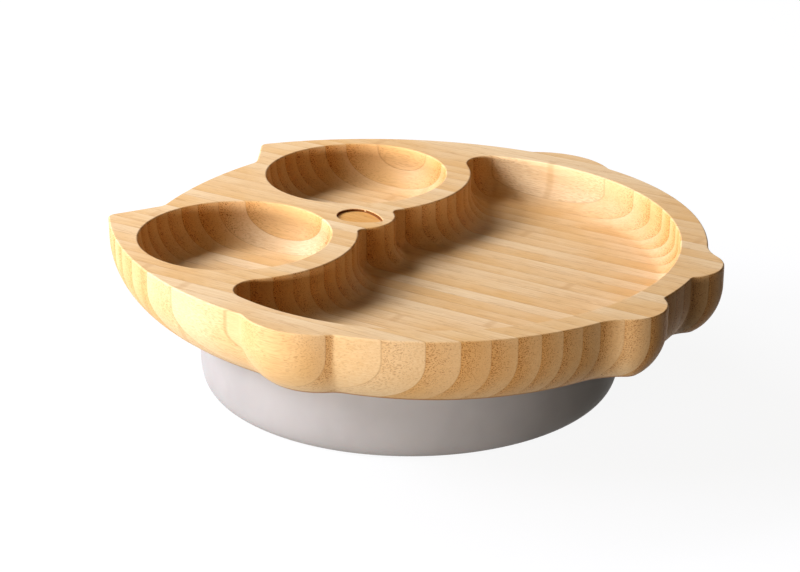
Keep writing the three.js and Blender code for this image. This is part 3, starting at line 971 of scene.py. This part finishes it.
def placed(tree, group, inputs):
    return node(tree, "ShaderNodeGroup", inputs, node_tree=group).outputs


def clear_nodes(owner):
    """Empty node tree of a material or a world."""
    owner.use_nodes = True
    owner.node_tree.nodes.clear()
    return owner.node_tree


def add_surface(tree, inputs):
    """Principled surface, joined to the material's output."""
    surface = node(tree, "ShaderNodeBsdfPrincipled", inputs)
    node(tree, "ShaderNodeOutputMaterial", {"Surface": surface.outputs[0]})


# %% Bamboo colours
PALE_TISSUE = linear(246, 222, 175)
TAN_TISSUE = linear(231, 188, 120)
BUNDLE_BROWN = linear(158, 98, 42)
STREAK_TAN = linear(214, 164, 100)
KNOT_BROWN = linear(196, 146, 88)
GLUE_BROWN = linear(168, 118, 66)
TOAST_TINT = linear(255, 228, 176)
# A darker brown for the wall of the beak's pocket.
BEAK_WALL_BROWN = linear(150, 112, 70)
OILED_TINT = linear(232, 200, 160)
MIDDLE_PALENESS = 0.55
TONE_SPREAD = 0.6
FLANK_SPREAD = 0.6
CLOUD_SPREAD = 0.35
STREAK_AMOUNT = 0.30
FINE_STREAK_AMOUNT = 0.10
PALE_FLANK_BUNDLES = 0.45
KNOT_AMOUNT = 0.3
GLUE_AMOUNT = 0.3
OIL_AMOUNT = 0.7
LOWER_EDGE_SHADE_AMOUNT = 0.8
END_GRAIN_FACING = (0.15, 0.8)
LEAST_END_GRAIN = 0.3
UNDERSIDE_FACING = (-0.98, -0.85)
KNOT_BAND = (0.4 * MM, 2.2 * MM)
GLUE_BAND = (0.03 * MM, 0.16 * MM)
# Height band of the painted shade along the side's lower edge, where it curves under.
LOWER_EDGE_SHADE_BAND = (RING_HEIGHT + 0.5 * MM, RING_HEIGHT + 1.5 * MM)


def bamboo_colour(tree, coordinates, cell, fibres, cloud):
    facing = node(tree, "ShaderNodeSeparateXYZ", {0: coordinates["Normal"]}).outputs
    height = node(tree, "ShaderNodeSeparateXYZ", {0: coordinates["Object"]}).outputs["Z"]
    end_grain = ramp(tree, calc(tree, "ABSOLUTE", facing["Y"]), *END_GRAIN_FACING, LEAST_END_GRAIN, 1.0)
    flank = calc(tree, "MULTIPLY", calc(tree, "SUBTRACT", cell["Across"], 0.5), end_grain)
    tone = calc(tree, "SUBTRACT", cell["Tone"], 0.5)
    paleness = calc(tree, "MULTIPLY_ADD", tone, TONE_SPREAD, MIDDLE_PALENESS)
    paleness = calc(tree, "MULTIPLY_ADD", flank, FLANK_SPREAD, paleness)
    paleness = calc(tree, "MULTIPLY_ADD", calc(tree, "SUBTRACT", cloud, 0.5), CLOUD_SPREAD, paleness)
    colour = mixed(tree, ramp(tree, paleness, 0.0, 1.0), TAN_TISSUE, PALE_TISSUE)
    colour = mixed(tree, calc(tree, "MULTIPLY", fibres["Streaks"], STREAK_AMOUNT), colour, STREAK_TAN)
    fine = calc(tree, "MULTIPLY", fibres["Fine Streaks"], FINE_STREAK_AMOUNT)
    colour = mixed(tree, fine, colour, BUNDLE_BROWN)
    fading = ramp(tree, cell["Across"], 0.0, 0.9, 1.0, PALE_FLANK_BUNDLES)
    depth = calc(tree, "MULTIPLY", end_grain, fading)
    colour = mixed(tree, calc(tree, "MULTIPLY", fibres["Bundles"], depth), colour, BUNDLE_BROWN)
    knot = ramp(tree, cell["Knot"], *KNOT_BAND, KNOT_AMOUNT, 0.0)
    colour = mixed(tree, knot, colour, KNOT_BROWN)
    glue = ramp(tree, cell["Joint"], *GLUE_BAND, GLUE_AMOUNT, 0.0)
    colour = mixed(tree, glue, colour, GLUE_BROWN)
    colour = mixed(tree, calc(tree, "MULTIPLY", end_grain, OIL_AMOUNT), colour, OILED_TINT, "MULTIPLY")
    # Painted shade: faces that curve under in the lowest band of the side are darkened with bundle brown.
    low = ramp(tree, height, *LOWER_EDGE_SHADE_BAND, LOWER_EDGE_SHADE_AMOUNT, 0.0)
    upright = ramp(tree, facing["Z"], *UNDERSIDE_FACING)
    colour = mixed(tree, calc(tree, "MULTIPLY", low, upright), colour, BUNDLE_BROWN)
    # The beak's pocket: toasted orange on its floor and a darker brown on its wall.
    toasted = node(tree, "ShaderNodeAttribute", attribute_name="toasted").outputs["Fac"]
    toast = mixed(tree, ramp(tree, toasted, TOASTED_FLOOR, BEAK_WALL_MARK), TOAST_TINT, BEAK_WALL_BROWN)
    return mixed(tree, ramp(tree, toasted, 0.0, TOASTED_FLOOR), colour, toast, "MULTIPLY")


# %% Oiled bamboo
STAVE_SEED = 6150
BAMBOO_CLOUD_SCALE = 0.03
SATIN_ROUGHNESS = 0.45


def paint_bamboo(material):
    tree = clear_nodes(material)
    coordinates = node(tree, "ShaderNodeTexCoord").outputs
    which = {"Place": coordinates["Object"], "Pitch": STAVE_PITCH, "Seed": STAVE_SEED}
    cell = placed(tree, STAVE_CELL, which)
    fibres = placed(tree, FIBRE_BUNDLES, {"Own Place": cell["Own Place"], "Across": cell["Across"]})
    cloud = placed(tree, SOFT_MOTTLE, {"Place": cell["Own Place"], "Scale": BAMBOO_CLOUD_SCALE})["Mottle"]
    satin = calc(tree, "MULTIPLY_ADD", cloud, 0.1, SATIN_ROUGHNESS)
    fine_relief = calc(tree, "MULTIPLY", fibres["Fine Streaks"], 0.4)
    relief = calc(tree, "MULTIPLY_ADD", fibres["Bundles"], 0.6, fine_relief)
    bump = node(tree, "ShaderNodeBump", {"Height": relief, "Strength": 0.3, "Distance": 0.05 * MM})
    finish = {
        "Base Color": bamboo_colour(tree, coordinates, cell, fibres, cloud),
        "Roughness": calc(tree, "MULTIPLY_ADD", fibres["Bundles"], 0.08, satin),
        "Normal": bump.outputs[0],
        "Specular IOR Level": 0.1,
    }
    add_surface(tree, finish)


paint_bamboo(bamboo)
print("bamboo:", len(bamboo.node_tree.nodes), "nodes")

# %% [markdown]
# ## Matte silicone
# Silicone from a blasted mould is matte, even and slightly soft to the light. A little subsurface
# scattering takes the hardness out of its shading, and a very fine bump stands for the mould's texture.

# %% Matte silicone
SILICONE_GREY = linear(170, 165, 159)
SILICONE_SHADE = linear(162, 157, 151)
SILICONE_ROUGHNESS = 0.54
CLOUD_SCALE = 45.0
SPECK_SCALE = 2600.0


def paint_silicone():
    material = bpy.data.materials.new("matte_silicone")
    tree = clear_nodes(material)
    place = node(tree, "ShaderNodeTexCoord").outputs["Object"]
    cloud = placed(tree, SOFT_MOTTLE, {"Place": place, "Scale": CLOUD_SCALE})["Mottle"]
    speck = placed(tree, SOFT_MOTTLE, {"Place": place, "Scale": SPECK_SCALE})["Mottle"]
    bump = node(tree, "ShaderNodeBump", {"Height": speck, "Strength": 0.25, "Distance": 0.04 * MM})
    finish = {
        "Base Color": mixed(tree, cloud, SILICONE_GREY, SILICONE_SHADE),
        "Roughness": calc(tree, "MULTIPLY_ADD", cloud, 0.08, SILICONE_ROUGHNESS),
        "Normal": bump.outputs[0],
        "Specular IOR Level": 0.25,
        "Subsurface Weight": 0.08,
        "Subsurface Scale": 2 * MM,
    }
    add_surface(tree, finish)
    return material


suction_ring.data.materials.append(paint_silicone())
print("silicone:", len(suction_ring.data.materials[0].node_tree.nodes), "nodes")

# %% [markdown]
# ## Riding on the frame
# Every piece is attached to the body that it moves with, and the coarse solid that it stands for is hidden.
# All staves are glued into one body, and the ring is the other: it can be pulled off.

# %% Pieces and bodies
for number, stave in enumerate(staves, start=1):
    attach(stave, "plate")
    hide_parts(f"stave_{number:02d}")
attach(suction_ring, "suction_ring")
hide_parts("suction_ring")
print("pieces:", len(staves) + 1)

# %% [markdown]
# ## Table and light
# The picture has a white ground and soft light from a window beside the plate's ears: the bowls' near walls
# fall into deep shade and their far walls glow. A weaker light stands behind, and a low wide one takes the
# place of the bright table, which lights the plate's outer wall and the ring but can't reach into a bowl.
# The white ground does not come from more light on the object. So the floor is dark grey to the light that
# bounces, and only to the eye is it white: the Light Path node tells the two apart. Part of what the eye
# sees is still lit, which keeps the soft shadow. The ring stands on the table, so the floor rides with it
# and stays under it when the ring is pulled off.

# %% Floor and world
FLOOR_SIZE = 8.0
FLOOR_GLOW = 0.91
BACKGROUND_WHITE = (1.0, 1.0, 1.0, 1.0)
FLOOR_BOUNCE = (0.15, 0.15, 0.15, 1.0)
FLOOR_LIT_SHARE = (0.11, 0.11, 0.11, 1.0)
AMBIENT = (0.065, 0.042, 0.018, 1.0)


def seen_directly(tree):
    """One for rays that look at the background, straight or in a reflection or through glass."""
    ray = node(tree, "ShaderNodeLightPath").outputs
    seen = calc(tree, "MAXIMUM", ray["Is Camera Ray"], ray["Is Glossy Ray"])
    return calc(tree, "MAXIMUM", seen, ray["Is Transmission Ray"])


def chosen(tree, unseen, seen):
    """One shader for bounced light and another for what the eye sees."""
    parts = {0: seen_directly(tree), 1: unseen.outputs[0], 2: seen.outputs[0]}
    return node(tree, "ShaderNodeMixShader", parts).outputs[0]


def paint_floor():
    material = bpy.data.materials.new("white_floor")
    tree = clear_nodes(material)
    bounce = node(tree, "ShaderNodeBsdfDiffuse", {"Color": FLOOR_BOUNCE})
    lit = node(tree, "ShaderNodeBsdfDiffuse", {"Color": FLOOR_LIT_SHARE})
    glow = node(tree, "ShaderNodeEmission", {"Color": BACKGROUND_WHITE, "Strength": FLOOR_GLOW})
    shown = node(tree, "ShaderNodeAddShader", {0: lit.outputs[0], 1: glow.outputs[0]})
    node(tree, "ShaderNodeOutputMaterial", {"Surface": chosen(tree, bounce, shown)})
    return material


def make_floor():
    half = FLOOR_SIZE / 2
    corners = [(-half, -half, 0), (half, -half, 0), (half, half, 0), (-half, half, 0)]
    floor = add_object("floor", corners, [[0, 1, 2, 3]])
    floor.data.materials.append(paint_floor())
    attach(floor, "suction_ring")


def make_world():
    world = bpy.data.worlds.new("white_room")
    bpy.context.scene.world = world
    tree = clear_nodes(world)
    ambient = node(tree, "ShaderNodeBackground", {"Color": AMBIENT})
    white = node(tree, "ShaderNodeBackground", {"Color": BACKGROUND_WHITE})
    node(tree, "ShaderNodeOutputWorld", {"Surface": chosen(tree, ambient, white)})


make_floor()
make_world()
print("floor:", FLOOR_SIZE, "m wide; world:", bpy.context.scene.world.name)

# %% Lamps
DAYLIGHT = (0.97, 1.0, 1.18)
TABLE_LIGHT = (1.0, 0.96, 0.98)
LAMP_DISTANCE = 1.3
LAMPS = [
    dict(name="window_light", azimuth=121, elevation=28, size=(0.8, 0.4), power=21.5, colour=DAYLIGHT),
    dict(name="back_light", azimuth=78, elevation=40, size=(0.8, 0.4), power=11.0, colour=DAYLIGHT),
    dict(name="table_glow", azimuth=172, elevation=3.5, size=(1.0, 0.1), power=18.0, colour=TABLE_LIGHT),
]


def add_lamp(name, azimuth, elevation, size, power, colour):
    """Soft rectangular light that looks at the plate. Azimuth runs from +X towards +Y."""
    lamp = bpy.data.lights.new(name, "AREA")
    lamp.shape = "RECTANGLE"
    lamp.size, lamp.size_y = size
    lamp.energy = power
    lamp.color = colour
    turn, rise = math.radians(azimuth), math.radians(elevation)
    away = Vector((math.cos(turn) * math.cos(rise), math.sin(turn) * math.cos(rise), math.sin(rise)))
    made = bpy.data.objects.new(name, lamp)
    made.location = away * LAMP_DISTANCE + Vector((0, 0, RING_HEIGHT))
    made.rotation_euler = away.to_track_quat("Z", "Y").to_euler()
    bpy.context.scene.collection.objects.link(made)


for lamp_values in LAMPS:
    add_lamp(**lamp_values)
print("lamps:", [light.name for light in bpy.data.lights])
